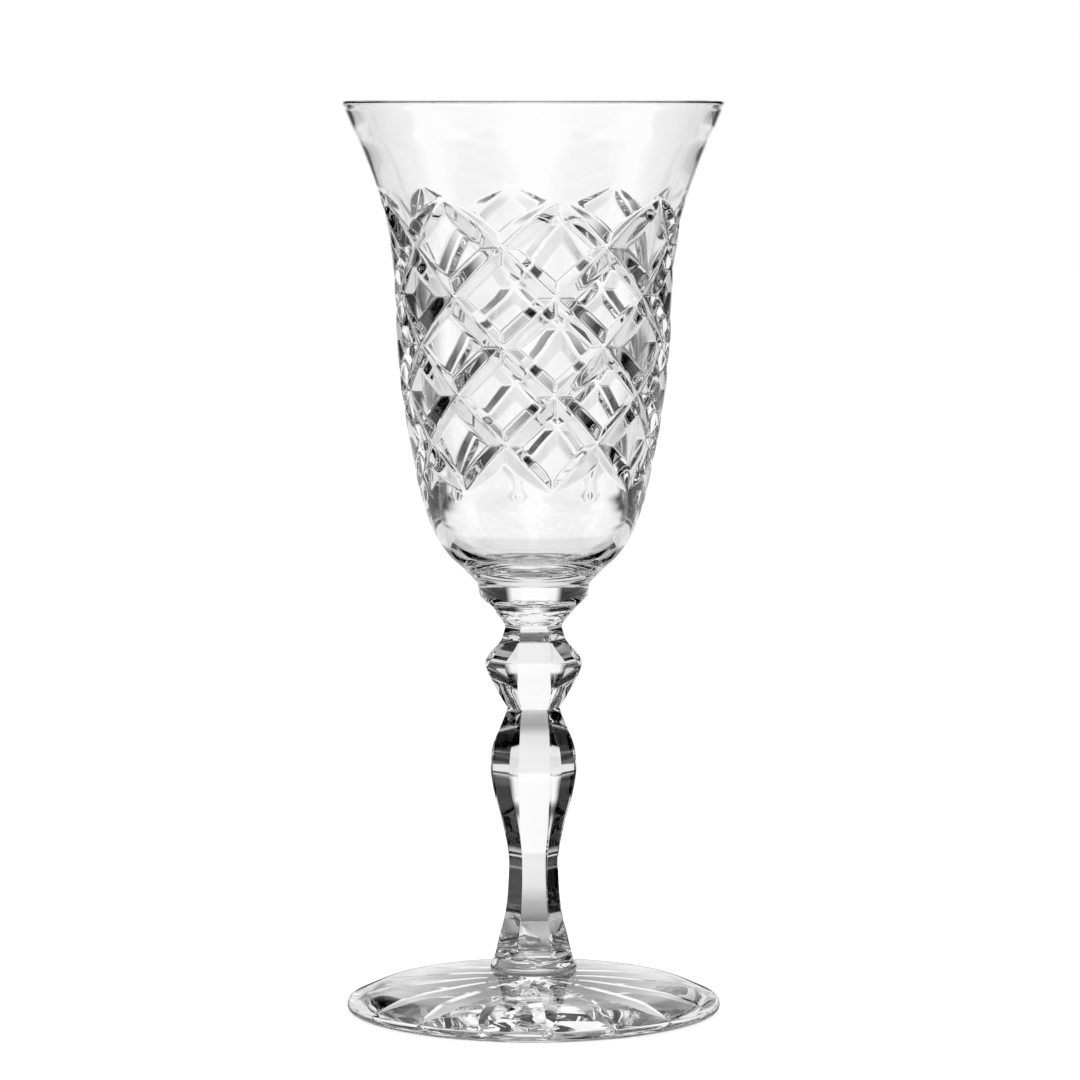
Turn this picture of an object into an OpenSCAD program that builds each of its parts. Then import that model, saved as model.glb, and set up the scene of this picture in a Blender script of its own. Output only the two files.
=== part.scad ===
// Cordial glass in cut lead crystal: a flared bowl with a mitre-cut diamond lattice,
// a merese, a faceted knop, a six-sided baluster stem and a star-cut foot.
// The five gathers of glass are joined hot, each on a flat disc that both share.
// Z is up, the origin is the centre of the foot's underside, and the front is -Y.

/* [Bowl] */
// Height of the bowl from its joint to the rim
bowl_h = 63.2; // [58:0.1:70]
// Outside diameter at the rim
rim_d = 50; // [46:0.1:56]
// Outside diameter at the waist, under the flare
waist_d = 36.4; // [34:0.1:40]
// Height of the waist over the joint
waist_h = 38.2; // [36:0.1:41]
// Outside diameter at the top of the round cup
cup_d = 30.3; // [28:0.1:33]
// Height of the round cup over the joint
cup_h = 13; // [11:0.1:15]
// Thickness of the wall at the rim
rim_wall = 1.2; // [1:0.05:1.6]
// Thickness of the wall where the lattice is cut
side_wall = 2.8; // [2.4:0.05:3.4]
// Thickness of the glass under the inside of the bowl
floor_t = 1.9; // [1.6:0.1:3.2]
// Radius of the fire-polished edges of the rim
rim_round = 0.35; // [0.2:0.05:0.45]

/* [Diamond lattice] */
// Diamonds round the bowl
diamonds = 8; // [6:1:10]
// Half rows of diamonds from the top points to the bottom points
half_rows = 6; // [4:2:6]
// Height of one half row
half_row_h = 6.35; // [5.6:0.05:6.6]
// Depth of the mitre cuts
mitre_depth = 0.9; // [0.5:0.05:1.1]
// How much shallower the cuts of the second hand are, which cross the first
second_less = 0.03; // [0.02:0.01:0.1]
// Angle of the mitre wheel's edge
mitre_angle = 118; // [100:1:124]
// Height of the lattice's bottom points over the joint
lattice_low = 12.7; // [11:0.1:14]
// Turn of the lattice from the front
lattice_turn = 9.3; // [0:0.1:45]

/* [Merese] */
// Diameter of the joint between the bowl and the merese
bowl_joint_d = 14.9; // [13.6:0.1:16]
// Height of the merese
merese_h = 7.4; // [6.8:0.1:9]
// Height of the plain band at its top
band_h = 1.7; // [1.2:0.1:2]
// Diameter at the foot of the plain band
band_d = 14.3; // [13.2:0.1:15]
// Diameter of its thinnest place, over the corners
pinch_d = 7.5; // [6.8:0.1:8]
// Height of its thinnest place
pinch_h = 1.6; // [1.2:0.1:2]
// Depth of the scallops cut in its underside
scallop_depth = 0.45; // [0.2:0.05:0.6]
// Radius of the wheel that cuts them
scallop_wheel_r = 3.2; // [2.8:0.1:4]

/* [Knop] */
// Diameter of the joint between the merese and the knop, over the corners
neck_d = 8.3; // [7.8:0.1:9]
// Height of the knop
knop_h = 9.2; // [8.4:0.1:11]
// Diameter of the knop's girdle
girdle_d = 12.8; // [11.6:0.1:14]
// Height of the girdle over the knop's foot
girdle_h = 6; // [5.2:0.1:6.6]

/* [Stem] */
// Flat panels round the stem, the knop and the neck
panels = 6; // [5:1:8]
// Diameter of the joint between the knop and the stem, over the corners
stem_top_d = 6.8; // [6.2:0.1:7.6]
// Length of the stem
stem_h = 35; // [32:0.1:42]
// Diameter of the baluster at its widest
baluster_d = 11.4; // [10:0.1:13]
// Height of the widest place over the stem's foot
baluster_h = 27; // [24.5:0.1:28.5]
// Diameter of the stem at its thinnest
shank_d = 6.5; // [5.8:0.1:7.4]
// Height of the thinnest place over the stem's foot
shank_h = 13.8; // [12:0.1:16]
// Diameter of the joint between the stem and the foot
foot_joint_d = 11.4; // [10:0.1:13]
// Turn of the front panel from the front
panel_turn = 3; // [0:0.5:30]

/* [Foot] */
// Diameter of the foot
foot_d = 49.4; // [47.4:0.1:54]
// Height of the foot's crown, where the stem is joined
foot_h = 5.2; // [4.6:0.1:6.4]
// Thickness of the foot's edge
edge_t = 1.5; // [1.3:0.05:1.8]
// Rays of the star cut in the underside
rays = 16; // [12:1:20]
// Distance from the centre to the tips of the rays
ray_reach = 22.6; // [18:0.1:22.8]
// Distance from the centre at which the rays start
star_eye = 1.2; // [0.8:0.1:2]
// Depth of the rays
ray_depth = 1.1; // [0.6:0.05:1.3]
// Angle of the star wheel's edge
ray_angle = 120; // [100:1:124]
// Turn of the star from the front
star_turn = 4.8; // [0:0.1:22.5]

/* [Hidden] */
$fn = 96;
// How far every cut reaches past the glass
overrun = 0.3;
// Where -Y lies for a turn about Z
front = -90;
stem_bottom = foot_h;
knop_bottom = stem_bottom + stem_h;
merese_bottom = knop_bottom + knop_h;
bowl_bottom = merese_bottom + merese_h;

// Curves, as lists of [radius, height] from the lowest point up

// A point of a list, with the ends held
function held(points, i) = points[max(0, min(len(points) - 1, i))];
// A point between b and c on a smooth curve that also passes a and d
function between(a, b, c, d, t) =
    0.5 * (2 * b + (c - a) * t + (2 * a - 5 * b + 4 * c - d) * t * t + (3 * b - a - 3 * c + d) * t * t * t);
// A smooth curve through points, with a number of steps from each point to the next
function curve(points, steps) = concat(
    [for (i = [0:len(points) - 2], k = [0:steps - 1])
        between(held(points, i - 1), points[i], points[i + 1], held(points, i + 2), k / steps)],
    [points[len(points) - 1]]);
// Points on the way from one place to another, at shares of its radius and its height
function stretch(from, to, shares) =
    [for (s = shares) [from[0] + s[0] * (to[0] - from[0]), from[1] + s[1] * (to[1] - from[1])]];
function without_first(points) = [for (i = [1:len(points) - 1]) points[i]];
function turned_over(points) = [for (i = [len(points) - 1:-1:0]) points[i]];
function arc(centre, r, from, to, steps) =
    [for (k = [0:steps]) let (a = from + (to - from) * k / steps) centre + r * [cos(a), sin(a)]];
// The closed section between a curve and the axis
function section(points) = concat([[0, points[0][1]]], points, [[0, points[len(points) - 1][1]]]);

// A cutter of V section, from its rings: the edge in the glass first, then the two corners outside
module vee(rings) {
    last = len(rings) - 1;
    sides = [for (i = [0:last - 1], k = [0:2])
        let (a = 3 * i + k, b = 3 * i + (k + 1) % 3)
        each [[a, a + 3, b], [b, a + 3, b + 3]]];
    ends = [[0, 1, 2], [3 * last + 2, 3 * last + 1, 3 * last]];
    polyhedron([for (ring = rings) each ring], concat(sides, ends));
}

// Bowl

curve_steps = 3;
lip_steps = 3;
cup_shares = [[0, 0], [0.24, 0.15], [0.48, 0.28], [0.72, 0.5], [0.88, 0.74]];
side_shares = [[0, 0], [0.41, 0.25], [0.74, 0.5], [0.92, 0.75]];
flare_shares = [[0, 0], [0.08, 0.25], [0.26, 0.49], [0.6, 0.75], [0.82, 0.88], [1, 1]];
lip_h = bowl_h - rim_round;
cup_edge = [cup_d / 2, cup_h];
waist_edge = [waist_d / 2, waist_h];
outside = curve(
    concat(
        stretch([bowl_joint_d / 2, 0], cup_edge, cup_shares),
        stretch(cup_edge, waist_edge, side_shares),
        stretch(waist_edge, [rim_d / 2, lip_h], flare_shares)),
    curve_steps);
outside_table = [for (p = outside) [p[1], p[0]]];
function outside_r(z) = lookup(z, outside_table);

// The inside is a round-bottomed well, and above it follows the outside while the wall thins to the rim
well_share = 1.1;
well_h = well_share * cup_h;
well_shares = [[0, 0], [0.35, 0.02], [0.62, 0.1], [0.82, 0.26], [0.94, 0.48], [0.99, 0.74]];
well_edge = [outside_r(well_h) - side_wall, well_h];
inside_h = lip_h - well_h;
thick_shares = [[0, 1], [0.55, 1], [0.75, 0.45], [1, 0]];
step_share = 0.2;
function wall_at(share) = rim_wall + (side_wall - rim_wall) * lookup(share, thick_shares);
function inside_point(share) = let (z = well_h + share * inside_h) [outside_r(z) - wall_at(share), z];
inside = curve(
    concat(
        stretch([0, floor_t], well_edge, well_shares),
        [for (share = [0:step_share:1 - step_share]) inside_point(share)],
        [[rim_d / 2 - rim_wall, lip_h]]),
    curve_steps);

module bowl_blank() {
    outer_lip = arc([rim_d / 2 - rim_round, lip_h], rim_round, 0, 90, lip_steps);
    inner_lip = arc([rim_d / 2 - rim_wall + rim_round, lip_h], rim_round, 90, 180, lip_steps);
    rotate_extrude() polygon(concat(
        [[0, 0]], outside, without_first(outer_lip), inner_lip, without_first(turned_over(inside))));
}

// Each mitre cut winds down the side of the bowl from a top point of the lattice to a bottom point
first_steps = 23;
second_steps = 25;
run_out_share = 0.09;
lift_share = 0.2;
lattice_h = half_rows * half_row_h;
lattice_sweep = half_rows * 180 / diamonds;
// How deep the wheel is at a share of the way: it comes in and goes out in a slope
function bite(t, hand) =
    let (run = min(1, t / run_out_share, (1 - t) / run_out_share),
         full = hand > 0 ? mitre_depth : mitre_depth - second_less)
    full * run * (2 - run) - lift_share * overrun * (1 - run);
// A point beside the cut's path: side is how far across the cut, and out how far outside the glass
function mitre_point(t, hand, side, out) =
    let (z = lattice_low + (1 - t) * lattice_h,
         turn = hand * t * lattice_sweep,
         r = outside_r(z) + out,
         along = [-hand * outside_r(z) * lattice_sweep * PI / 180, lattice_h],
         across = side * along[1] / norm(along),
         up = -side * along[0] / norm(along))
    [r * cos(turn) - across * sin(turn), r * sin(turn) + across * cos(turn), z + up];
function mitre_ring(t, hand) =
    let (depth = bite(t, hand),
         half = (depth + overrun) * tan(mitre_angle / 2))
    [mitre_point(t, hand, 0, -depth), mitre_point(t, hand, half, overrun), mitre_point(t, hand, -half, overrun)];

module mitre_cut(hand) {
    steps = hand > 0 ? first_steps : second_steps;
    vee([for (i = [0:steps]) mitre_ring(i / steps, hand)]);
}

module bowl() {
    color("white") translate([0, 0, bowl_bottom]) difference() {
        bowl_blank();
        for (k = [0:diamonds - 1], hand = [-1, 1])
            rotate(front + lattice_turn + k * 360 / diamonds) mitre_cut(hand);
    }
}

// Panels, given by how much of the round glass they leave: 0 is a sharp-cornered prism, over 1 no panel

corner_share = cos(180 / panels);
corner_left_share = 0.05;
no_panel_share = 1.4;
function panel_r(r, left) = r * (corner_share + left * (1 - corner_share));

// A round piece with flat panels, from its outline and a table of what they leave at shares of its height.
// The wheel's profile has its points between those of the outline.
module faceted(outline, left_shares) {
    low = outline[0][1];
    high = outline[len(outline) - 1][1];
    table = [for (p = outline) [p[1], p[0]]];
    reach = 2 * max([for (p = outline) p[0]]);
    heights = concat(
        [low - overrun],
        [for (i = [0:len(outline) - 2]) (outline[i][1] + outline[i + 1][1]) / 2],
        [high + overrun]);
    flat = [for (z = heights) [panel_r(lookup(z, table), lookup((z - low) / (high - low), left_shares)), z]];
    difference() {
        rotate_extrude() polygon(section(outline));
        for (k = [0:panels - 1]) rotate(front + panel_turn + k * 360 / panels) rotate([90, 0, 0])
            linear_extrude(reach, center = true)
                polygon(concat(flat, [[reach, high + overrun], [reach, low - overrun]]));
    }
}

// Merese

band_edge = [band_d / 2, merese_h - band_h];
pinch = [pinch_d / 2, pinch_h];
pinch_shares = [[0, 0], [0.55, 0.5]];
under_shares = [[0, 0], [0.09, 0.16], [0.2, 0.28], [0.46, 0.48], [0.78, 0.74]];
merese_steps = 2;
merese_outline = concat(
    curve(
        concat(
            stretch([neck_d / 2, 0], pinch, pinch_shares),
            stretch(pinch, band_edge, under_shares),
            [band_edge]),
        merese_steps),
    [[(band_d + bowl_joint_d) / 4, merese_h - band_h / 2], [bowl_joint_d / 2, merese_h]]);
merese_left_shares = [
    [0, corner_left_share], [0.22, corner_left_share], [0.36, 0.3], [0.42, no_panel_share], [1, no_panel_share]];
scallop_at_share = 0.62;

module scallop_wheel() {
    on = pinch + scallop_at_share * (band_edge - pinch);
    slope = (band_edge - pinch) / norm(band_edge - pinch);
    lift = scallop_wheel_r - scallop_depth;
    translate([on[0] + lift * slope[1], 0, on[1] - lift * slope[0]])
        rotate([90, 0, 0]) cylinder(r = scallop_wheel_r, h = band_d, center = true);
}

module merese() {
    color("white") translate([0, 0, merese_bottom]) difference() {
        faceted(merese_outline, merese_left_shares);
        for (k = [0:panels - 1]) rotate(front + panel_turn + (k + 1 / 2) * 360 / panels) scallop_wheel();
    }
}

// Knop

knop_steps = 2;
knop_low_shares = [[0, 0], [0.26, 0.2], [0.56, 0.46], [0.84, 0.74], [0.97, 0.91], [1, 1]];
knop_high_shares = [[0, 0], [0.06, 0.16], [0.24, 0.35], [0.64, 0.66], [0.86, 0.84], [1, 1]];
girdle = [girdle_d / 2, girdle_h];
knop_outline = concat(
    curve(stretch([stem_top_d / 2, 0], girdle, knop_low_shares), knop_steps),
    without_first(curve(stretch(girdle, [neck_d / 2, knop_h], knop_high_shares), knop_steps)));
knop_left_shares = [[0, corner_left_share], [0.3, 0.2], [0.65, 0.5], [0.85, 0.25], [1, corner_left_share]];

module knop() {
    color("white") translate([0, 0, knop_bottom]) faceted(knop_outline, knop_left_shares);
}

// Stem

base_shares = [[0, 0], [0.02, 0.06], [0.2, 0.12], [0.32, 0.2], [0.5, 0.34], [0.76, 0.52], [0.92, 0.72]];
rise_shares = [[0, 0], [0.06, 0.18], [0.22, 0.34], [0.46, 0.52], [0.76, 0.72], [0.95, 0.9]];
top_shares = [[0, 0], [0.04, 0.2], [0.16, 0.4], [0.44, 0.6], [0.74, 0.8], [1, 1]];
shank = [shank_d / 2, shank_h];
baluster = [baluster_d / 2, baluster_h];
stem_outline = curve(
    concat(
        stretch([foot_joint_d / 2, 0], shank, base_shares),
        stretch(shank, baluster, rise_shares),
        stretch(baluster, [stem_top_d / 2, stem_h], top_shares)),
    curve_steps);
stem_left_shares = [
    [0, no_panel_share], [0.035, 1.3], [0.075, 0.3], [0.16, corner_left_share], [0.5, corner_left_share],
    [0.68, 0.35], [0.77, 0.4], [0.88, 0.35], [0.97, corner_left_share], [1, corner_left_share]];

module baluster_stem() {
    color("white") translate([0, 0, stem_bottom]) faceted(stem_outline, stem_left_shares);
}

// Foot

edge_steps = 8;
edge_lean = 70;
dome_steps = 2;
edge_r = edge_t / 2;
edge = arc([foot_d / 2 - edge_r, edge_r], edge_r, -90, edge_lean, edge_steps);
dome_shares = [[0, 0], [0.2, 0.42], [0.36, 0.55], [0.55, 0.66], [0.75, 0.79], [0.9, 0.9], [1, 1]];
dome = curve(stretch(edge[edge_steps], [foot_joint_d / 2, foot_h], dome_shares), dome_steps);
foot_outline = concat(edge, without_first(dome));

star_steps = 8;
// A ring of a ray at a share of the way out: the wheel dips in and comes out again
function ray_ring(t) =
    let (depth = 4 * ray_depth * t * (1 - t),
         half = (depth + overrun) * tan(ray_angle / 2),
         r = star_eye + t * (ray_reach - star_eye))
    [[r, 0, depth], [r, -half, -overrun], [r, half, -overrun]];

module star_ray() {
    vee([for (k = [0:star_steps]) ray_ring(k / star_steps)]);
}

module foot() {
    color("white") difference() {
        rotate_extrude() polygon(section(foot_outline));
        for (k = [0:rays - 1]) rotate(front + star_turn + k * 360 / rays) star_ray();
    }
}

bowl();
merese();
knop();
baluster_stem();
foot();
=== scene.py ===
"""Cordial glass in cut lead crystal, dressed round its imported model, with its studio and camera."""

import math

import bpy
import numpy as np
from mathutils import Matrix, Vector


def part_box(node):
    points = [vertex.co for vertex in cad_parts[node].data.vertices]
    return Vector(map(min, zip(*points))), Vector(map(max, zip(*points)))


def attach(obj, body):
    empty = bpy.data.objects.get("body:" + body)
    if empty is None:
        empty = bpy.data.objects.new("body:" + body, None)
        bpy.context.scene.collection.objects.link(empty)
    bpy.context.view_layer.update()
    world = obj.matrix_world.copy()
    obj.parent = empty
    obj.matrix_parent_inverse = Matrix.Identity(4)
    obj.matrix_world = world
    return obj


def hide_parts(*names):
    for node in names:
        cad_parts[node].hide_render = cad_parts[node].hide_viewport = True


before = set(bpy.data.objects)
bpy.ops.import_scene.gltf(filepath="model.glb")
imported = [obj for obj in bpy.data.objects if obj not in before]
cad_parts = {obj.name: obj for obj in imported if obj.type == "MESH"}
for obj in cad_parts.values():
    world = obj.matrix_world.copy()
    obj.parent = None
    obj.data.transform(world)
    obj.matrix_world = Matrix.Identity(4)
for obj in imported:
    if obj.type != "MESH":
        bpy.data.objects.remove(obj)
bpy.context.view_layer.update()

bl_info = {
    "name": "Cordial glass",
    "version": (1, 0, 0),
    "blender": (4, 5, 0),
    "location": "3D view > Sidebar > Glass",
    "description": "Builds a cut crystal cordial glass and its studio",
    "category": "Add Mesh",
}

MM = 0.001
FRONT = -math.pi / 2
# Points nearer to each other than this become one
MERGE_WITHIN = 0.002 * MM
# A length too small to see, for tests of where a point is
HAIR = 0.001 * MM

# What the imported model says of a node: its lowest and its highest point, and its radius


def low(name):
    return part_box(name)[0][2]


def high(name):
    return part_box(name)[1][2]


def wide(name):
    """The radius of the widest circle round the axis that the node's box holds."""
    lowest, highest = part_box(name)
    return min(-lowest[0], -lowest[1], highest[0], highest[1])


# Curves, as lists of (radius, height) from the lowest point up


def between(a, b, c, d, t):
    """A point between b and c on a smooth curve that also passes a and d."""
    return 0.5 * (2 * b + (c - a) * t + (2 * a - 5 * b + 4 * c - d) * t**2 + (3 * b - a - 3 * c + d) * t**3)


def curve(points, steps):
    """A smooth curve through points, with a number of steps from each point to the next."""
    held = [points[0], *points, points[-1]]
    made = []
    for a, b, c, d in zip(held, held[1:], held[2:], held[3:]):
        for k in range(steps):
            made.append(tuple(between(*axis, k / steps) for axis in zip(a, b, c, d)))
    return [*made, tuple(points[-1])]


def stretch(start, end, shares):
    """Points on the way from one place to another, at shares of its radius and its height."""
    return [(start[0] + r * (end[0] - start[0]), start[1] + h * (end[1] - start[1])) for r, h in shares]


def arc(centre, r, start, end, steps):
    """Points on an arc from one angle to another, in degrees."""
    turns = [math.radians(start + (end - start) * k / steps) for k in range(steps + 1)]
    return [(centre[0] + r * math.cos(t), centre[1] + r * math.sin(t)) for t in turns]


def spaced(points, step):
    """The same curve with its points an even step apart."""
    p = np.array(points)
    run = np.concatenate([[0], np.cumsum(np.hypot(*np.diff(p, axis=0).T))])
    count = max(1, round(run[-1] / step))
    at = np.linspace(0, run[-1], count + 1)
    return [tuple(q) for q in np.column_stack([np.interp(at, run, p[:, 0]), np.interp(at, run, p[:, 1])])]


def radius_at(points):
    """A function that gives the curve's radius at a height."""
    p = np.array(points)
    order = np.argsort(p[:, 1])
    return lambda z: np.interp(z, p[order, 1], p[order, 0])


def raised(points, z):
    return [(r, h + z) for r, h in points]


def closed_outline(points):
    return [(0, points[0][1]), *points, (0, points[-1][1])]


# Sizes that a user would change


def size(name, about, default):
    return bpy.props.FloatProperty(
        name=name, description=about, default=default, min=0, unit="LENGTH", precision=5
    )


def angle(name, about, degrees):
    turn = math.radians(degrees)
    return bpy.props.FloatProperty(name=name, description=about, default=turn, unit="ROTATION")


def number(name, about, default):
    return bpy.props.IntProperty(name=name, description=about, default=default, min=1)


class BowlSizes(bpy.types.PropertyGroup):
    """Sizes of the bowl and its cuts"""

    waist_r: size("Waist radius", "Outside radius under the flare", 18.2 * MM)
    waist_h: size("Waist height", "Height of the waist over the joint", 38.2 * MM)
    cup_r: size("Cup radius", "Outside radius at the top of the round cup", 15.15 * MM)
    cup_h: size("Cup height", "Height of the round cup over the joint", 13 * MM)
    joint_r: size("Joint radius", "Radius of the joint with the merese", 7.45 * MM)
    rim_wall: size("Rim wall", "Thickness of the wall at the rim", 1.2 * MM)
    side_wall: size("Side wall", "Thickness of the wall where it is cut", 2.8 * MM)
    floor_t: size("Floor", "Thickness of the glass under the inside", 1.9 * MM)
    rim_round: size("Rim round", "Radius of the rim's fire-polished edges", 0.35 * MM)
    diamonds: number("Diamonds", "Diamonds round the bowl", 8)
    half_rows: number("Half rows", "Half rows of diamonds, top to bottom", 6)
    half_row_h: size("Half row", "Height of a half row of diamonds", 6.35 * MM)
    lattice_low: size("Lattice foot", "Height of the lattice's bottom points over the joint", 12.7 * MM)
    mitre_depth: size("Mitre depth", "Depth of the mitre cuts", 0.9 * MM)
    lattice_turn: angle("Lattice turn", "Turn of the lattice from the front", 9.3)


class StemSizes(bpy.types.PropertyGroup):
    """Sizes of the merese, the knop and the stem"""

    panels: number("Panels", "Flat panels round the stem", 6)
    panel_turn: angle("Panel turn", "Turn of the front panel from the front", 3)
    band_h: size("Band height", "Height of the merese's plain band", 1.7 * MM)
    band_r: size("Band radius", "Radius at the foot of the plain band", 7.15 * MM)
    pinch_r: size("Pinch radius", "Radius of the merese's thinnest place", 3.75 * MM)
    pinch_h: size("Pinch height", "Height of the merese's thinnest place", 1.6 * MM)
    scallop_depth: size("Scallop depth", "Depth of the merese's six scallops", 0.45 * MM)
    scallop_wheel_r: size("Scallop wheel", "Radius of the wheel that cuts them", 3.2 * MM)
    neck_r: size("Neck radius", "Radius of the joint of the merese and the knop", 4.15 * MM)
    girdle_r: size("Girdle radius", "Radius of the knop's girdle", 6.4 * MM)
    girdle_h: size("Girdle height", "Height of the girdle over the knop's foot", 6 * MM)
    stem_top_r: size("Stem top radius", "Radius of the joint of the knop and the stem", 3.4 * MM)
    baluster_r: size("Baluster radius", "Radius of the stem at its widest", 5.7 * MM)
    baluster_h: size("Baluster height", "Height of the widest place over the stem's foot", 27 * MM)
    shank_r: size("Shank radius", "Radius of the stem at its thinnest", 3.25 * MM)
    shank_h: size("Shank height", "Height of the thinnest place over the stem's foot", 13.8 * MM)
    foot_joint_r: size("Foot joint radius", "Radius of the joint of the stem and the foot", 5.7 * MM)


class FootSizes(bpy.types.PropertyGroup):
    """Sizes of the foot and its star"""

    edge_t: size("Edge", "Thickness of the foot's edge", 1.5 * MM)
    rays: number("Rays", "Rays of the star", 16)
    ray_reach: size("Ray reach", "Distance from the centre to the tips of the rays", 22.6 * MM)
    star_eye: size("Star eye", "Distance from the centre at which the rays start", 1.2 * MM)
    ray_depth: size("Ray depth", "Depth of the rays", 1.1 * MM)
    ray_angle: angle("Ray angle", "Angle of the star wheel's edge", 120)
    star_turn: angle("Star turn", "Turn of the star from the front", 4.8)


class StudioSizes(bpy.types.PropertyGroup):
    """The camera's place and its lens"""

    camera_at: bpy.props.FloatVectorProperty(
        name="Camera",
        description="Where the camera stands",
        default=(0.85 * MM, -648 * MM, 122 * MM),
        unit="LENGTH",
    )
    camera_down: angle("Camera tilt", "How far the camera looks down", 5.257)
    lens: bpy.props.FloatProperty(name="Lens", description="Focal length on a 36 mm sensor", default=164.8)


# Meshes


def only(piece):
    """Makes a piece the one that operators act on."""
    bpy.ops.object.select_all(action="DESELECT")
    piece.select_set(True)
    bpy.context.view_layer.objects.active = piece


def line_of_points(name, points):
    """A new mesh that is one chain of vertices through (radius, height) points. It grows from a small plane
    that is merged into its centre."""
    bpy.ops.object.select_all(action="DESELECT")
    bpy.ops.mesh.primitive_plane_add(size=MM, location=(points[0][0], 0, points[0][1]))
    piece = bpy.context.object
    piece.name = piece.data.name = name
    bpy.ops.object.transform_apply(location=True, rotation=True, scale=True)
    bpy.ops.object.mode_set(mode="EDIT")
    bpy.ops.mesh.select_all(action="SELECT")
    bpy.ops.mesh.merge(type="CENTER")
    for a, b in zip(points, points[1:]):
        bpy.ops.mesh.extrude_vertices_move(TRANSFORM_OT_translate={"value": (b[0] - a[0], 0, b[1] - a[1])})
    bpy.ops.object.mode_set(mode="OBJECT")
    return piece


def turned(name, points, segments):
    """A closed blank turned from its outline, which starts and ends on the axis."""
    piece = line_of_points(name, points)
    bpy.ops.object.mode_set(mode="EDIT")
    bpy.ops.mesh.select_all(action="SELECT")
    bpy.ops.mesh.spin(steps=segments, angle=2 * math.pi, center=(0, 0, 0), axis=(0, 0, 1))
    bpy.ops.mesh.select_all(action="SELECT")
    bpy.ops.mesh.remove_doubles(threshold=MERGE_WITHIN)
    bpy.ops.mesh.normals_make_consistent(inside=False)
    bpy.ops.object.mode_set(mode="OBJECT")
    return piece


def points_of(piece):
    """The places of a piece's vertices, one row each."""
    points = np.empty(len(piece.data.vertices) * 3)
    piece.data.vertices.foreach_get("co", points)
    return points.reshape(-1, 3)


def move_points(piece, points):
    piece.data.vertices.foreach_set("co", points.ravel())
    piece.data.update()


def steps_round(points, segments):
    """The number of each point's step round the axis."""
    return np.round(np.arctan2(points[:, 1], points[:, 0]) / (2 * math.pi) * segments).astype(int) % segments


def select_faces(piece, test):
    """Selects the faces whose centre and normal pass a test, and nothing else."""
    mesh = piece.data
    for part in (mesh.vertices, mesh.edges):
        part.foreach_set("select", [False] * len(part))
    for face in mesh.polygons:
        face.select = test(face.center, face.normal)


def poke_faces(piece, test):
    """Gives each face that passes a test a point at its centre, so that edges run both ways across it."""
    only(piece)
    picking = bpy.context.tool_settings
    picking.mesh_select_mode = (False, False, True)
    select_faces(piece, test)
    bpy.ops.object.mode_set(mode="EDIT")
    bpy.ops.mesh.poke()
    bpy.ops.object.mode_set(mode="OBJECT")
    picking.mesh_select_mode = (True, False, False)


def smooth(piece, degrees):
    """Shades a piece smooth, but for the edges that bend by more than an angle in degrees."""
    only(piece)
    bpy.ops.object.shade_smooth_by_angle(angle=math.radians(degrees))


# A face belongs to a joint when it is this level and this near to the joint's height
LEVEL_FACE = 0.999
JOINT_WITHIN = 0.01 * MM


def finish(piece, name, glass, joints):
    """Gives a piece its materials and its node in the model. joints holds the heights of its fused joints."""
    piece.data.materials.clear()
    piece.data.materials.append(bpy.data.materials[glass])
    piece.data.materials.append(bpy.data.materials["fused_joint"])
    for face in piece.data.polygons:
        level = abs(face.normal.z) > LEVEL_FACE
        face.material_index = int(level and any(abs(face.center.z - z) < JOINT_WITHIN for z in joints))
    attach(piece, "root")
    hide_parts(name)


# Materials


def linear(code):
    """A hex sRGB colour as linear RGBA."""
    rgb = [int(code[i : i + 2], 16) / 255 for i in (1, 3, 5)]
    return (*[c / 12.92 if c <= 0.04045 else ((c + 0.055) / 1.055) ** 2.4 for c in rgb], 1.0)


def node(tree, kind, settings=None, **links):
    """Adds a node. settings are its properties. links are its sockets' values, or the sockets that feed them,
    each under the socket's name with low lines for spaces, or under a low line and the socket's number."""
    made = tree.nodes.new(kind)
    for name, value in (settings or {}).items():
        setattr(made, name, value)
    for name, value in links.items():
        socket = made.inputs[int(name[1:])] if name[0] == "_" else made.inputs[name.replace("_", " ")]
        if isinstance(value, bpy.types.NodeSocket):
            tree.links.new(value, socket)
        else:
            socket.default_value = value
    return made


def fresh(name):
    """A new material and its empty node tree."""
    material = bpy.data.materials.new(name)
    material.use_nodes = True
    material.node_tree.nodes.clear()
    return material, material.node_tree


CRYSTAL_IOR = 1.545


def crystal(name, wave, rough, strength, depth):
    """Polished lead crystal, water-clear, whose surface is uneven by a wave's length and depth in metres."""
    tree = fresh(name)[1]
    place = node(tree, "ShaderNodeTexCoord")
    waves = node(
        tree, "ShaderNodeTexNoise",
        Vector=place.outputs["Object"], Scale=1 / wave, Detail=1.0, Roughness=rough,
    )
    bump = node(tree, "ShaderNodeBump", Strength=strength, Distance=depth, Height=waves.outputs[0])
    glass = node(
        tree, "ShaderNodeBsdfPrincipled",
        Base_Color=linear("#FFFFFF"), Roughness=0.0, IOR=CRYSTAL_IOR, Transmission_Weight=1.0,
        Normal=bump.outputs["Normal"],
    )
    node(tree, "ShaderNodeOutputMaterial", Surface=glass.outputs["BSDF"])


def lead_crystal():
    """Lead crystal, blown and fire-polished: water-clear, with a faint ripple where the tool smoothed it."""
    crystal("lead_crystal_fire_polished", wave=9 * MM, rough=0.4, strength=0.7, depth=0.05 * MM)


def cut_crystal():
    """Wheel-cut crystal, polished in acid, which leaves its flats slightly wavy."""
    crystal("lead_crystal_wheel_cut", wave=3.5 * MM, rough=0.5, strength=0.5, depth=0.04 * MM)


def fused_joint():
    """Where two gathers were joined hot: the same glass on both sides, so light goes straight through."""
    tree = fresh("fused_joint")[1]
    clear = node(tree, "ShaderNodeBsdfTransparent", Color=linear("#FFFFFF"))
    node(tree, "ShaderNodeOutputMaterial", Surface=clear.outputs["BSDF"])


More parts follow.
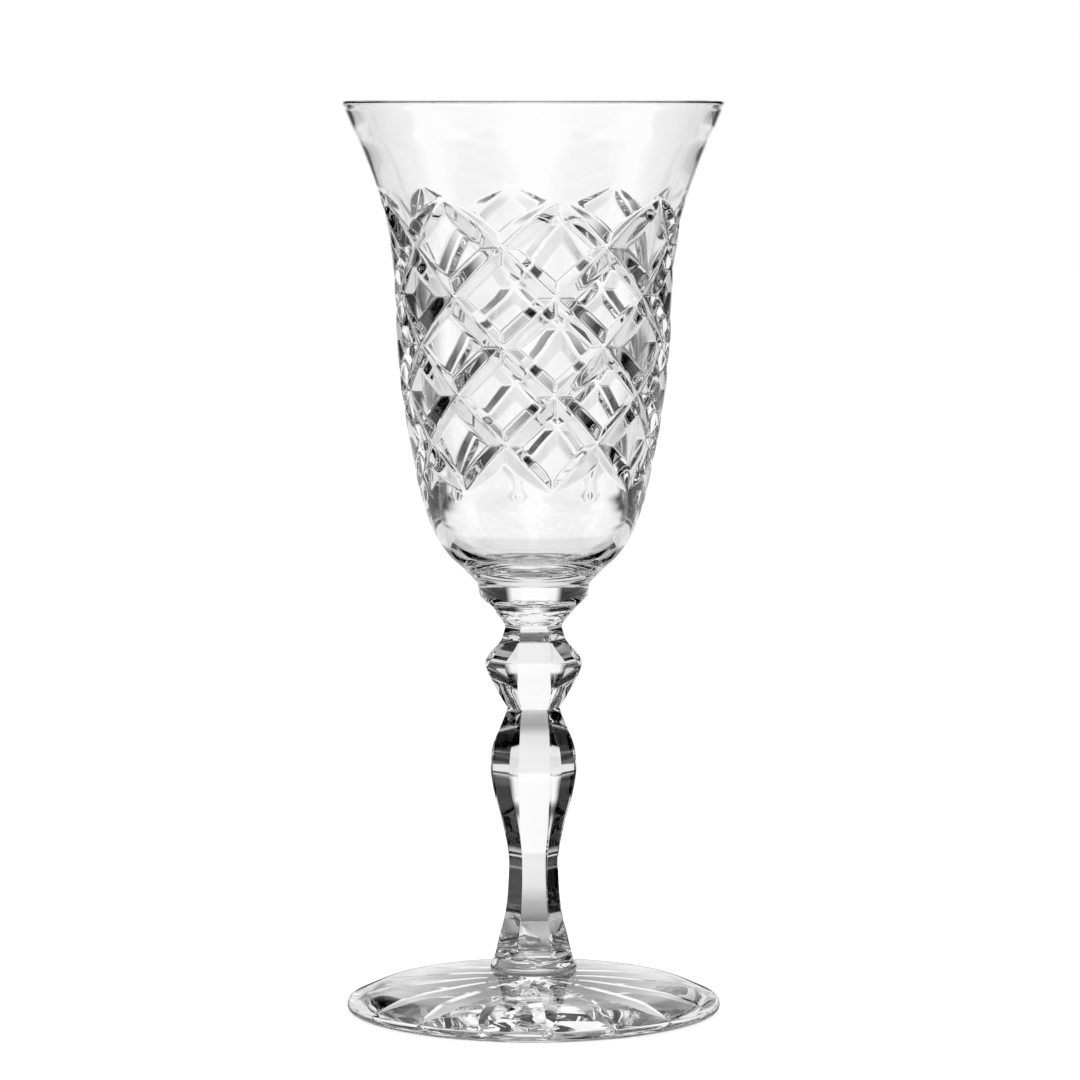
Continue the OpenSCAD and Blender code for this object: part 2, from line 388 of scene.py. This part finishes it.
# Where a card ends in its own coordinates, and how far in from there its net is open
CARD_EDGE = 0.5
CARD_FEATHER = 0.15


def black_net():
    """Black net on a frame, open towards its edges. The cut glass turns it into soft dark streaks."""
    material, tree = fresh("black_net")
    place = node(tree, "ShaderNodeTexCoord")
    across = node(tree, "ShaderNodeVectorMath", {"operation": "ABSOLUTE"}, _0=place.outputs["Object"])
    split = node(tree, "ShaderNodeSeparateXYZ", Vector=across.outputs[0])
    path = node(tree, "ShaderNodeLightPath")
    cover = path.outputs["Is Glossy Ray"]
    for part in (split.outputs[0], split.outputs[1]):
        inside = node(
            tree, "ShaderNodeMapRange", {"interpolation_type": "SMOOTHSTEP"},
            Value=part, From_Min=CARD_EDGE, From_Max=CARD_EDGE - CARD_FEATHER,
        )
        both = node(tree, "ShaderNodeMath", {"operation": "MULTIPLY"}, _0=cover, _1=inside.outputs[0])
        cover = both.outputs[0]
    open_net = node(tree, "ShaderNodeBsdfTransparent", Color=linear("#FFFFFF"))
    cloth = node(tree, "ShaderNodeBsdfDiffuse", Color=linear("#080808"))
    net = node(tree, "ShaderNodeMixShader", _0=cover, _1=open_net.outputs[0], _2=cloth.outputs[0])
    node(tree, "ShaderNodeOutputMaterial", Surface=net.outputs[0])
    return material


# Painted shade on the paper as the glass sees it, darkest in a painted shadow under the foot, as (distance
# from the glass in mm, level of white)
ALONG_SIDES = (
    (0, 0.08), (12, 0.2), (16, 0.4), (20, 0.25), (26, 0.14), (36, 0.35), (54, 0.5), (74, 0.8), (90, 0.85),
    (380, 0.85), (600, 1),
)
# Towards the corners the paper is painted dark, out to about the kerb cards
ALONG_CORNERS = (
    (0, 0.08), (12, 0.2), (18, 0.65), (22, 0.65), (28, 0), (102, 0), (122, 0.75), (300, 0.8), (600, 0.8),
    (780, 0.1), (900, 0),
)
# Half the width of the painted light lane on each side, as (distance from the glass in mm, share of that
# distance)
LANE_SHARES = (
    (0, 0.34), (27, 0.32), (36, 0.16), (66, 0.12), (80, 0.2), (98, 0.66), (128, 0.66), (146, 0.16),
    (205, 0.16), (240, 0.34), (380, 0.38), (600, 0.4),
)
# The share of a painted light lane's half width at which its edge starts to fade
LANE_FADE_SHARE = 0.5
# The paper's own light. With what the paper reflects it makes white, and a shadow still shows
PAPER_GLOW = 0.75


def falloff(tree, away, levels):
    """A ramp from a distance in metres to a level of white. New stops start half way and are then placed."""
    reach = levels[-1][0] * MM
    share = node(tree, "ShaderNodeMath", {"operation": "DIVIDE"}, _0=away, _1=reach)
    ramp = node(tree, "ShaderNodeValToRGB", Fac=share.outputs[0])
    stops = ramp.color_ramp.elements
    while len(stops) < len(levels):
        stops.new(1 / 2)
    for stop, (mm, level) in zip(stops, levels):
        stop.position = mm * MM / reach
        stop.color = (level, level, level, 1)
    return ramp.outputs["Color"]


def white_paper_sweep():
    """White paper. The camera sees it lit, with the object's shadow. The glass sees painted shade instead: a
    glow in rings round its foot, darkest in a painted shadow under it, with a painted light lane towards each
    of the four sides and painted dark towards the corners."""
    material, tree = fresh("white_paper_sweep")
    place = node(tree, "ShaderNodeTexCoord")
    across = node(tree, "ShaderNodeVectorMath", {"operation": "ABSOLUTE"}, _0=place.outputs["Object"])
    split = node(tree, "ShaderNodeSeparateXYZ", Vector=across.outputs[0])
    aside = node(tree, "ShaderNodeMath", {"operation": "MINIMUM"}, _0=split.outputs[0], _1=split.outputs[1])
    away = node(tree, "ShaderNodeVectorMath", {"operation": "LENGTH"}, _0=place.outputs["Object"])
    lane = node(
        tree, "ShaderNodeMath", {"operation": "MULTIPLY"}, _0=away.outputs["Value"],
        _1=falloff(tree, away.outputs["Value"], LANE_SHARES),
    )
    share = node(tree, "ShaderNodeMath", {"operation": "DIVIDE"}, _0=aside.outputs[0], _1=lane.outputs[0])
    edge = node(tree, "ShaderNodeMapRange", Value=share.outputs[0], From_Min=LANE_FADE_SHARE, From_Max=1.0)
    shade = node(
        tree, "ShaderNodeMixRGB",
        Fac=edge.outputs[0],
        Color1=falloff(tree, away.outputs["Value"], ALONG_SIDES),
        Color2=falloff(tree, away.outputs["Value"], ALONG_CORNERS),
    )
    # Painted shade and painted light: a glow set by where a point lies on the paper, not by the light that
    # reaches it
    painted_shade = node(tree, "ShaderNodeEmission", Color=shade.outputs[0], Strength=1.0)
    paper = node(tree, "ShaderNodeBsdfDiffuse", Color=linear("#A4A4A4"))
    glow = node(tree, "ShaderNodeEmission", Color=linear("#FFFFFF"), Strength=PAPER_GLOW)
    lit = node(tree, "ShaderNodeAddShader", _0=paper.outputs[0], _1=glow.outputs[0])
    # Rays reflected or refracted by the glass see the painted shade; the camera and diffuse rays see the lit
    # paper
    path = node(tree, "ShaderNodeLightPath")
    both = node(
        tree, "ShaderNodeMixShader", _0=path.outputs["Is Glossy Ray"], _1=lit.outputs[0], _2=painted_shade.outputs[0]
    )
    node(tree, "ShaderNodeOutputMaterial", Surface=both.outputs[0])
    return material


# Pieces

BOWL_CURVE_STEPS = 12
CUP_SHARES = ((0, 0), (0.24, 0.15), (0.48, 0.28), (0.72, 0.5), (0.88, 0.74))
SIDE_SHARES = ((0, 0), (0.41, 0.25), (0.74, 0.5), (0.92, 0.75))
FLARE_SHARES = ((0, 0), (0.08, 0.25), (0.26, 0.49), (0.6, 0.75), (0.82, 0.88), (1, 1))
# The round bottom of the hollow: where it ends as a share of the cup's height, and its curve
WELL_SHARE = 1.1
WELL_SHARES = ((0, 0), (0.35, 0.02), (0.62, 0.1), (0.82, 0.26), (0.94, 0.48), (0.99, 0.74))
# From the hollow's bottom to the rim: where the wall is measured, and its way from rim_wall to side_wall
WALL_AT_SHARES = (0, 0.2, 0.4, 0.6, 0.8)
THICK_SHARES = ((0, 0.55, 0.75, 1), (1, 1, 0.45, 0))
# Length of a facet under the lattice, over it, inside the bowl, and the number round each edge of the rim
UNDER_STEP = 0.45 * MM
OVER_STEP = 0.6 * MM
HOLLOW_STEP = 0.8 * MM
RIM_STEPS = 5
# The lattice is ground into a fine mesh, as many segments wide as high, that goes a few rows past it
SEGMENTS_A_HALF_ROW = 18
ROWS_PAST = 3
# Half a groove's width in segments, and the share of the lattice's height on which it runs out at each end
GROOVE_SEGMENTS = 6
RUN_OUT_SHARE = 0.09
# Vertices this near to the outside are ground, by weights in steps this fine
SKIN = 0.2 * MM
WEIGHT_STEP = 0.001
# Edges that bend by more than this, in degrees, stay sharp: none on the bowl
BOWL_CREASE = 180


class GLASS_OT_bowl(bpy.types.Operator):
    """Blows the bowl, then grinds its diamond lattice"""

    bl_idname = "glass.bowl"
    bl_label = "Bowl"

    def execute(self, context):
        sizes = context.scene.glass_bowl
        base = low("bowl")
        lip_h = high("bowl") - base - sizes.rim_round
        step = sizes.half_row_h / SEGMENTS_A_HALF_ROW
        rows = sizes.half_rows * SEGMENTS_A_HALF_ROW
        heights = [sizes.lattice_low + step * k for k in range(-ROWS_PAST, rows + ROWS_PAST + 1)]
        outside = self.outside(sizes, lip_h)
        outer = radius_at(outside)
        outline = self.outline(sizes, outside, outer, heights, lip_h)
        segments = 2 * sizes.diamonds * SEGMENTS_A_HALF_ROW
        bowl = turned("crystal_bowl", raised(outline, base), segments)

        def cut_zone(centre, normal):
            out = centre.x * normal.x + centre.y * normal.y > 0
            return out and heights[0] < centre.z - base < heights[-1]

        poke_faces(bowl, cut_zone)
        self.grind(bowl, sizes, step, segments, outer, base)
        smooth(bowl, BOWL_CREASE)
        finish(bowl, "bowl", "lead_crystal_fire_polished", [base])
        return {"FINISHED"}

    def outside(self, sizes, lip_h):
        """The outside, from the joint to the lip."""
        cup, waist, lip = (sizes.cup_r, sizes.cup_h), (sizes.waist_r, sizes.waist_h), (wide("bowl"), lip_h)
        points = stretch((sizes.joint_r, 0), cup, CUP_SHARES)
        points += stretch(cup, waist, SIDE_SHARES)
        points += stretch(waist, lip, FLARE_SHARES)
        return curve(points, BOWL_CURVE_STEPS)

    def hollow(self, sizes, outer, lip_h):
        """The inside, from the middle of its floor to the lip."""
        well_h = WELL_SHARE * sizes.cup_h
        well = (float(outer(well_h)) - sizes.side_wall, well_h)
        sides = []
        for share in WALL_AT_SHARES:
            z = well_h + share * (lip_h - well_h)
            wall = sizes.rim_wall + (sizes.side_wall - sizes.rim_wall) * np.interp(share, *THICK_SHARES)
            sides.append((float(outer(z)) - wall, z))
        bottom = stretch((0, sizes.floor_t), well, WELL_SHARES)
        # The curve comes from across the axis, so the floor is level in the middle
        mirrored = (-bottom[1][0], bottom[1][1])
        lip = (wide("bowl") - sizes.rim_wall, lip_h)
        return curve([mirrored, *bottom, *sides, lip], BOWL_CURVE_STEPS)[BOWL_CURVE_STEPS:]

    def outline(self, sizes, outside, outer, heights, lip_h):
        """The blank's outline, up the outside, over the rim and down the hollow."""
        start, end = ((float(outer(z)), z) for z in (heights[0], heights[-1]))
        under = [p for p in outside if p[1] < heights[0]] + [start]
        over = [end] + [p for p in outside if p[1] > heights[-1]]
        rim_r = wide("bowl")
        outline = [(0, 0)]
        outline += spaced(under, UNDER_STEP)
        outline += [(float(outer(z)), z) for z in heights[1:-1]]
        outline += spaced(over, OVER_STEP)
        outline += arc((rim_r - sizes.rim_round, lip_h), sizes.rim_round, 0, 90, RIM_STEPS)[1:]
        outline += arc((rim_r - sizes.rim_wall + sizes.rim_round, lip_h), sizes.rim_round, 90, 180, RIM_STEPS)
        outline += spaced(self.hollow(sizes, outer, lip_h), HOLLOW_STEP)[::-1][1:]
        return outline

    def grind(self, bowl, sizes, step, segments, outer, base):
        """Sinks the mitre cuts: vertices near a cut's path go in by how near they are."""
        points = points_of(bowl)
        turn = np.arctan2(points[:, 1], points[:, 0]) - FRONT - sizes.lattice_turn
        r = np.hypot(points[:, 0], points[:, 1])
        # Each vertex's place in the lattice, in segments round the bowl and rows down from the lattice's top
        across = turn / (2 * math.pi) * segments
        down = (base + (sizes.lattice_low + sizes.half_rows * sizes.half_row_h) - points[:, 2]) / step
        rows = sizes.half_rows * SEGMENTS_A_HALF_ROW
        run = np.clip(np.minimum(down, rows - down) / (RUN_OUT_SHARE * rows), 0, 1)
        full = run * (2 - run)
        period = 2 * SEGMENTS_A_HALF_ROW
        weight = np.zeros(len(points))
        for hand in (1, -1):
            off = np.abs((across - hand * down + period / 2) % period - period / 2)
            weight = np.maximum(weight, np.clip(full - off / GROOVE_SEGMENTS, 0, 1))
        weight[r <= outer(points[:, 2] - base) - SKIN] = 0
        weight = np.round(weight / WEIGHT_STEP).astype(int)
        group = bowl.vertex_groups.new(name="mitre_cuts")
        for count in np.unique(weight[weight > 0]):
            group.add(np.flatnonzero(weight == count).tolist(), float(count * WEIGHT_STEP), "REPLACE")
        only(bowl)
        wheel = bowl.modifiers.new("mitre wheel", "DISPLACE")
        wheel.direction = "NORMAL"
        wheel.strength = -sizes.mitre_depth
        wheel.mid_level = 0
        wheel.vertex_group = group.name
        bpy.ops.object.modifier_apply(modifier=wheel.name)


# Steps of the mesh on a flat panel, and on the strip of round glass between two
FLAT_STEPS = 8
STRIP_STEPS = 8
LEFT_CURVE_STEPS = 8
# How much round glass the panels leave: 0 is a sharp corner, and from 1 up nothing is cut
CORNER_LEFT = 0.05
NO_PANEL = 1.4
# The most of the radius at which a panel's middle stands, so that the panel keeps some width
ALMOST_ROUND = 0.99999
# Edges that bend by more than this, in degrees, stay sharp
PANEL_CREASE = 14


def stem_segments(sizes):
    """Steps round the merese, the knop or the stem."""
    return sizes.panels * 2 * (FLAT_STEPS + STRIP_STEPS // 2)


def grind_panels(piece, sizes, base, top, left_shares):
    """Grinds flat panels on a turned piece. left_shares says how much round glass they leave at each height.
    Heights stay as they are, so the discs of the joints stay flat."""
    half = FLAT_STEPS + STRIP_STEPS // 2
    points = points_of(piece)
    # Each vertex's place round the piece: the nearest panel, and the steps from that panel's middle
    index = steps_round(points, stem_segments(sizes))
    panel = np.round(index / (2 * half)).astype(int)
    step = index - panel * 2 * half
    count = np.abs(step)
    on_flat = count <= FLAT_STEPS
    share = (points[:, 2] - base) / (top - base)
    left = np.interp(share, *zip(*curve(left_shares, LEFT_CURVE_STEPS)))
    # Turns from a panel's middle to half way to the next one, and to its own edge. flat is the share of the
    # radius at which its middle stands
    whole = math.pi / sizes.panels
    corner = math.cos(whole)
    flat = np.clip(corner + left * (1 - corner), 0, ALMOST_ROUND)
    edge = np.arccos(flat)
    turn = np.where(
        on_flat,
        np.arctan(np.tan(edge) * count / FLAT_STEPS),
        edge + (whole - edge) * (count - FLAT_STEPS) / (half - FLAT_STEPS),
    )
    r = np.hypot(points[:, 0], points[:, 1]) * np.where(on_flat, flat / np.cos(turn), 1)
    phi = FRONT + sizes.panel_turn + panel * 2 * whole + np.sign(step) * turn
    points[:, 0] = r * np.cos(phi)
    points[:, 1] = r * np.sin(phi)
    move_points(piece, points)


MERESE_CURVE_STEPS = 12
MERESE_STEP = 0.15 * MM
PINCH_SHARES = ((0, 0), (0.55, 0.5))
UNDER_SHARES = ((0, 0), (0.09, 0.16), (0.2, 0.28), (0.46, 0.48), (0.78, 0.74))
MERESE_LEFT_SHARES = ((0, CORNER_LEFT), (0.22, CORNER_LEFT), (0.36, 0.3), (0.42, NO_PANEL), (1, NO_PANEL))
SCALLOP_AT_SHARE = 0.62
WHEEL_SEGMENTS = 160


class GLASS_OT_merese(bpy.types.Operator):
    """Makes the merese, with its plain band, its scallops and its six-sided neck"""

    bl_idname = "glass.merese"
    bl_label = "Merese"

    def execute(self, context):
        sizes, bowl = context.scene.glass_stem, context.scene.glass_bowl
        base, top = low("merese"), high("merese")
        h = top - base
        band, pinch = (sizes.band_r, h - sizes.band_h), (sizes.pinch_r, sizes.pinch_h)
        under = stretch((sizes.neck_r, 0), pinch, PINCH_SHARES) + stretch(pinch, band, UNDER_SHARES) + [band]
        outline = spaced(curve(under, MERESE_CURVE_STEPS), MERESE_STEP)
        outline += [((sizes.band_r + bowl.joint_r) / 2, h - sizes.band_h / 2), (bowl.joint_r, h)]
        merese = turned("crystal_merese", closed_outline(raised(outline, base)), stem_segments(sizes))
        grind_panels(merese, sizes, base, top, MERESE_LEFT_SHARES)
        self.scallop(merese, sizes, base, pinch, band)
        smooth(merese, PANEL_CREASE)
        finish(merese, "merese", "lead_crystal_wheel_cut", [base, top])
        return {"FINISHED"}

    def scallop(self, merese, sizes, base, pinch, band):
        """Cuts a scallop between each two panels, with a wheel that lies along the merese's slope."""
        run = (band[0] - pinch[0], band[1] - pinch[1])
        slope = (run[0] / math.hypot(*run), run[1] / math.hypot(*run))
        lift = sizes.scallop_wheel_r - sizes.scallop_depth
        centre_r = pinch[0] + SCALLOP_AT_SHARE * run[0] + lift * slope[1]
        centre_z = base + pinch[1] + SCALLOP_AT_SHARE * run[1] - lift * slope[0]
        for k in range(sizes.panels):
            turn = FRONT + sizes.panel_turn + (k + 0.5) * 2 * math.pi / sizes.panels
            bpy.ops.object.select_all(action="DESELECT")
            bpy.ops.mesh.primitive_cylinder_add(
                vertices=WHEEL_SEGMENTS,
                radius=sizes.scallop_wheel_r,
                depth=2 * sizes.band_r,
                location=(centre_r * math.cos(turn), centre_r * math.sin(turn), centre_z),
                rotation=(math.pi / 2, 0, turn),
            )
            wheel = bpy.context.object
            only(merese)
            cut = merese.modifiers.new("scallop", "BOOLEAN")
            cut.operation, cut.solver, cut.object = "DIFFERENCE", "MANIFOLD", wheel
            bpy.ops.object.modifier_apply(modifier=cut.name)
            bpy.data.objects.remove(wheel)


KNOP_CURVE_STEPS = 10
KNOP_STEP = 0.16 * MM
KNOP_LOW_SHARES = ((0, 0), (0.26, 0.2), (0.56, 0.46), (0.84, 0.74), (0.97, 0.91), (1, 1))
KNOP_HIGH_SHARES = ((0, 0), (0.06, 0.16), (0.24, 0.35), (0.64, 0.66), (0.86, 0.84), (1, 1))
KNOP_LEFT_SHARES = ((0, CORNER_LEFT), (0.3, 0.2), (0.65, 0.5), (0.85, 0.25), (1, CORNER_LEFT))


class GLASS_OT_knop(bpy.types.Operator):
    """Makes the knop, with its panels meeting at the girdle"""

    bl_idname = "glass.knop"
    bl_label = "Knop"

    def execute(self, context):
        sizes = context.scene.glass_stem
        base, top = low("knop"), high("knop")
        girdle = (sizes.girdle_r, sizes.girdle_h)
        lower = curve(stretch((sizes.stem_top_r, 0), girdle, KNOP_LOW_SHARES), KNOP_CURVE_STEPS)
        upper = curve(stretch(girdle, (sizes.neck_r, top - base), KNOP_HIGH_SHARES), KNOP_CURVE_STEPS)
        outline = spaced(lower, KNOP_STEP) + spaced(upper, KNOP_STEP)[1:]
        knop = turned("crystal_knop", closed_outline(raised(outline, base)), stem_segments(sizes))
        grind_panels(knop, sizes, base, top, KNOP_LEFT_SHARES)
        smooth(knop, PANEL_CREASE)
        finish(knop, "knop", "lead_crystal_wheel_cut", [base, top])
        return {"FINISHED"}


STEM_CURVE_STEPS = 10
STEM_STEP = 0.25 * MM
BASE_SHARES = ((0, 0), (0.02, 0.06), (0.2, 0.12), (0.32, 0.2), (0.5, 0.34), (0.76, 0.52), (0.92, 0.72))
RISE_SHARES = ((0, 0), (0.06, 0.18), (0.22, 0.34), (0.46, 0.52), (0.76, 0.72), (0.95, 0.9))
TOP_SHARES = ((0, 0), (0.04, 0.2), (0.16, 0.4), (0.44, 0.6), (0.74, 0.8), (1, 1))
STEM_LEFT_SHARES = (
    (0, NO_PANEL), (0.035, 1.3), (0.075, 0.3), (0.16, CORNER_LEFT), (0.5, CORNER_LEFT),
    (0.68, 0.35), (0.77, 0.4), (0.88, 0.35), (0.97, CORNER_LEFT), (1, CORNER_LEFT),
)


class GLASS_OT_stem(bpy.types.Operator):
    """Makes the baluster stem and its flat panels"""

    bl_idname = "glass.stem"
    bl_label = "Stem"

    def execute(self, context):
        sizes = context.scene.glass_stem
        base, top = low("baluster_stem"), high("baluster_stem")
        shank, baluster = (sizes.shank_r, sizes.shank_h), (sizes.baluster_r, sizes.baluster_h)
        points = stretch((sizes.foot_joint_r, 0), shank, BASE_SHARES)
        points += stretch(shank, baluster, RISE_SHARES)
        points += stretch(baluster, (sizes.stem_top_r, top - base), TOP_SHARES)
        outline = spaced(curve(points, STEM_CURVE_STEPS), STEM_STEP)
        stem = turned("crystal_stem", closed_outline(raised(outline, base)), stem_segments(sizes))
        grind_panels(stem, sizes, base, top, STEM_LEFT_SHARES)
        smooth(stem, PANEL_CREASE)
        finish(stem, "baluster_stem", "lead_crystal_wheel_cut", [base, top])
        return {"FINISHED"}


DOME_SHARES = ((0, 0), (0.2, 0.42), (0.36, 0.55), (0.55, 0.66), (0.75, 0.79), (0.9, 0.9), (1, 1))
DOME_CURVE_STEPS = 10
DOME_STEP = 0.5 * MM
UNDERSIDE_STEP = 0.4 * MM
# The round edge ends at an angle above level, in degrees, where the dome goes on
EDGE_LEAN = 70
EDGE_STEPS = 12
# Steps of the mesh from a ray's bottom to its lip, and on the flat glass between two rays
VEE_STEPS = 5
LAND_STEPS = 6
# The least and the most of half the way to the next ray at which a ray's lip can be
LIP_SHARES = (0.12, 0.94)
# Edges that bend by more than this, in degrees, stay sharp
RAY_CREASE = 20


class GLASS_OT_foot(bpy.types.Operator):
    """Makes the domed foot, then grinds the star in its underside"""

    bl_idname = "glass.foot"
    bl_label = "Foot"

    def execute(self, context):
        sizes, stem = context.scene.glass_foot, context.scene.glass_stem
        top = high("foot")
        edge_r = sizes.edge_t / 2
        edge = arc((wide("foot") - edge_r, edge_r), edge_r, -90, EDGE_LEAN, EDGE_STEPS)
        dome = curve(stretch(edge[-1], (stem.foot_joint_r, top), DOME_SHARES), DOME_CURVE_STEPS)
        outline = spaced([(0, 0), edge[0]], UNDERSIDE_STEP) + edge[1:]
        outline += spaced(dome, DOME_STEP)[1:] + [(0, top)]
        half = VEE_STEPS + LAND_STEPS // 2
        segments = sizes.rays * 2 * half
        foot = turned("crystal_foot", outline, segments)
        self.grind(foot, sizes, half, segments, edge[0][0])
        smooth(foot, RAY_CREASE)
        finish(foot, "foot", "lead_crystal_fire_polished", [top])
        return {"FINISHED"}

    def grind(self, foot, sizes, half, segments, ring_r):
        """Sinks the star's rays. Points on the underside slide round, so edges run along each ray's lips."""
        points = points_of(foot)
        r = np.hypot(points[:, 0], points[:, 1])
        under = (points[:, 2] < HAIR) & (r < ring_r + HAIR)
        # Each vertex's place round the foot: the nearest ray, and the steps from that ray's middle
        index = steps_round(points, segments)
        ray = np.round(index / (2 * half)).astype(int)
        step = index - ray * 2 * half
        count = np.abs(step)
        # A ray is deepest half way along, and its lip is where its sloping side comes out of the flat glass
        along = np.clip((r - sizes.star_eye) / (sizes.ray_reach - sizes.star_eye), 0, 1)
        depth = 4 * sizes.ray_depth * along * (1 - along)
        slope = math.tan(sizes.ray_angle / 2)
        whole = math.pi / sizes.rays
        least, most = (share * whole for share in LIP_SHARES)
        lip = np.clip(np.arcsin(np.clip(depth * slope / np.maximum(r, HAIR), 0, 1)), least, most)
        # Past the rays' tips, and off the underside, the points go back to an even spacing
        plain = whole * VEE_STEPS / half
        blend = np.clip((r - sizes.ray_reach) / (ring_r - sizes.ray_reach), 0, 1)
        lip = np.where(under, lip + (plain - lip) * blend, plain)
        turn = np.where(
            count <= VEE_STEPS,
            lip * count / VEE_STEPS,
            lip + (whole - lip) * (count - VEE_STEPS) / (half - VEE_STEPS),
        )
        up = np.clip(depth - r * np.sin(turn) / slope, 0, None)
        phi = FRONT + sizes.star_turn + ray * 2 * whole + np.sign(step) * turn
        points[:, 0] = r * np.cos(phi)
        points[:, 1] = r * np.sin(phi)
        points[:, 2] = np.where(under, up, points[:, 2])
        move_points(foot, points)


# The studio

# The dark cards at each corner: how far each is from the glass in metres, and the angles in degrees that it
# fills as the glass sees it, from one to another above the floor and half to each side
CARDS = {
    "corner_flag": {"away": 1.8, "rise_from": -3, "rise_to": 40, "half": 29},
    "header": {"away": 1.7, "rise_from": 10, "rise_to": 40, "half": 36},
    "kerb": {"away": 0.105, "rise_from": 0, "rise_to": 9, "half": 21},
}
SENSOR_MM = 36
FLOOR_R = 2.5
FLOOR_SEGMENTS = 96
# The paper lies this far under the foot, so that the two don't share a plane
FLOOR_GAP = 0.02 * MM
# Light crosses many faces of the cut glass before it leaves it
GLASS_BOUNCES = 24
GLOSSY_BOUNCES = 8


class GLASS_OT_stage(bpy.types.Operator):
    """Sets up the white studio, its dark cards, the floor and the camera"""

    bl_idname = "glass.stage"
    bl_label = "Stage"

    def execute(self, context):
        sizes = context.scene.glass_studio
        self.world()
        self.floor()
        self.cards()
        self.camera(context.scene, sizes)
        context.scene.view_settings.view_transform = "Standard"
        cycles = context.scene.cycles
        cycles.max_bounces = GLASS_BOUNCES
        cycles.transmission_bounces = GLASS_BOUNCES
        cycles.transparent_max_bounces = GLASS_BOUNCES
        cycles.glossy_bounces = GLOSSY_BOUNCES
        return {"FINISHED"}

    def camera(self, scene, sizes):
        """A long lens in front of the glass, a little over the rim and turned down."""
        bpy.ops.object.select_all(action="DESELECT")
        bpy.ops.object.camera_add(location=sizes.camera_at, rotation=(math.pi / 2 - sizes.camera_down, 0, 0))
        camera = bpy.context.object
        camera.data.lens = sizes.lens
        camera.data.sensor_width = SENSOR_MM
        scene.camera = camera

    def world(self):
        """An even white light from all sides, as in a light tent."""
        world = bpy.data.worlds.new("light_tent")
        world.use_nodes = True
        bpy.context.scene.world = world
        tree = world.node_tree
        tree.nodes.clear()
        light = node(tree, "ShaderNodeBackground", Color=linear("#FFFFFF"), Strength=1.0)
        node(tree, "ShaderNodeOutputWorld", Surface=light.outputs[0])

    def floor(self):
        """A wide sheet of paper under the foot."""
        bpy.ops.object.select_all(action="DESELECT")
        bpy.ops.mesh.primitive_circle_add(
            vertices=FLOOR_SEGMENTS, radius=FLOOR_R, fill_type="NGON", location=(0, 0, -FLOOR_GAP)
        )
        floor = bpy.context.object
        floor.name = "studio_floor"
        floor.data.materials.append(white_paper_sweep())

    def cards(self):
        """Dark cards that only the glass shows: a tall flag, a header and a low kerb at each corner."""
        black = black_net()
        for k in range(4):
            turn = FRONT + math.pi / 2 * k + math.pi / 4
            for name, place in CARDS.items():
                self.stand(f"{name}_{k}", turn, black, **place)

    def stand(self, name, turn, black, away, rise_from, rise_to, half):
        """Stands a card at a turn round the glass, facing it."""
        bottom, top = (away * math.tan(math.radians(rise)) for rise in (rise_from, rise_to))
        bpy.ops.object.select_all(action="DESELECT")
        bpy.ops.mesh.primitive_plane_add(
            size=2 * CARD_EDGE,
            location=(away * math.cos(turn), away * math.sin(turn), (bottom + top) / 2),
            rotation=(math.pi / 2, 0, turn + math.pi / 2),
        )
        flag = bpy.context.object
        flag.name = name
        flag.scale = (2 * away * math.tan(math.radians(half)), top - bottom, 1)
        flag.visible_camera = False
        flag.data.materials.append(black)


class GLASS_PT_panel(bpy.types.Panel):
    """Lists the steps that build the glass"""

    bl_idname = "GLASS_PT_panel"
    bl_label = "Cordial glass"
    bl_space_type = "VIEW_3D"
    bl_region_type = "UI"
    bl_category = "Glass"

    def draw(self, context):
        for step in STEPS:
            self.layout.operator(step.bl_idname)


STEPS = (GLASS_OT_stage, GLASS_OT_bowl, GLASS_OT_merese, GLASS_OT_knop, GLASS_OT_stem, GLASS_OT_foot)
SIZES = {
    "glass_bowl": BowlSizes,
    "glass_stem": StemSizes,
    "glass_foot": FootSizes,
    "glass_studio": StudioSizes,
}
CLASSES = (*SIZES.values(), *STEPS, GLASS_PT_panel)


def register():
    for made in CLASSES:
        bpy.utils.register_class(made)
    for name, group in SIZES.items():
        setattr(bpy.types.Scene, name, bpy.props.PointerProperty(type=group))


def unregister():
    for name in SIZES:
        delattr(bpy.types.Scene, name)
    for made in reversed(CLASSES):
        bpy.utils.unregister_class(made)


def main():
    register()
    lead_crystal()
    cut_crystal()
    fused_joint()
    bpy.ops.glass.stage()
    bpy.ops.glass.bowl()
    bpy.ops.glass.merese()
    bpy.ops.glass.knop()
    bpy.ops.glass.stem()
    bpy.ops.glass.foot()


if __name__ == "__main__":
    main()
